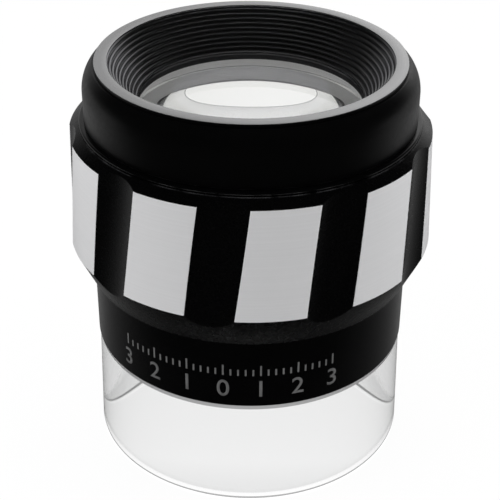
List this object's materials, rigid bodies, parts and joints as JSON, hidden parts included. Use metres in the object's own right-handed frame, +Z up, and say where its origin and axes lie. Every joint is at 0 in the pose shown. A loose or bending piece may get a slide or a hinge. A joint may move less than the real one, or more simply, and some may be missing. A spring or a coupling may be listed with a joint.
{
  "type": "focusing loupe",
  "caption": "Stand loupe: a fluted grip ring turns on a fixed barrel and screws the lens group up and down above a clear, flared base.",
  "frame": {"origin": "middle of the foot's resting face, on the optical axis", "axes": "+Z up along the optical axis, towards the eye; -Y is the side that the picture shows"},
  "size_m": [0.0466, 0.0466, 0.053],
  "materials": {
    "clear_acrylic": "clear polished acrylic",
    "gasket": "soft grey gasket",
    "barrel_black": "glossy black enamel",
    "nut_black": "black anodised",
    "nylon": "nylon",
    "inner_black": "matt black anodised",
    "screw_steel": "turned steel",
    "grip_metal": "black anodised, with bare turned lands",
    "screw_black": "blackened steel",
    "trim_black": "glossy black",
    "cap_black": "satin black enamel",
    "flint_glass": "coated optical glass",
    "crown_glass": "optical glass",
    "spacer_black": "matt black anodised",
    "retainer_black": "matt black anodised"
  },
  "bodies": {
    "base": {"clear_base": "clear_acrylic", "base_gasket": "gasket", "fixed_barrel": "barrel_black", "base_nut": "nut_black"},
    "damper": {"damping_ring": "nylon"},
    "focus": {"lens_barrel": "inner_black", "guide_screws": "screw_steel", "grip_ring": "grip_metal", "ring_screws": "screw_black", "trim_ring": "trim_black", "eyepiece_cap": "cap_black", "upper_flint_lens": "flint_glass", "upper_crown_lens": "crown_glass", "lens_spacer": "spacer_black", "lower_crown_lens": "crown_glass", "lower_flint_lens": "flint_glass", "lens_retainer": "retainer_black"}
  },
  "joints": [
    {"name": "focus_rise", "type": "slide", "parent": "base", "child": "damper", "axis": [0, 0, 1], "range_m": [-0.0028, 0.00224]},
    {"name": "focus_turn", "type": "hinge", "parent": "damper", "child": "focus", "pos_m": [0, 0, 0.03], "axis": [0, 0, 1], "range_deg": [-50, 40]}
  ],
  "couplings": [
    {"joint": "focus_rise", "follows": "focus_turn", "m_per_rad": 0.0031831}
  ]
}
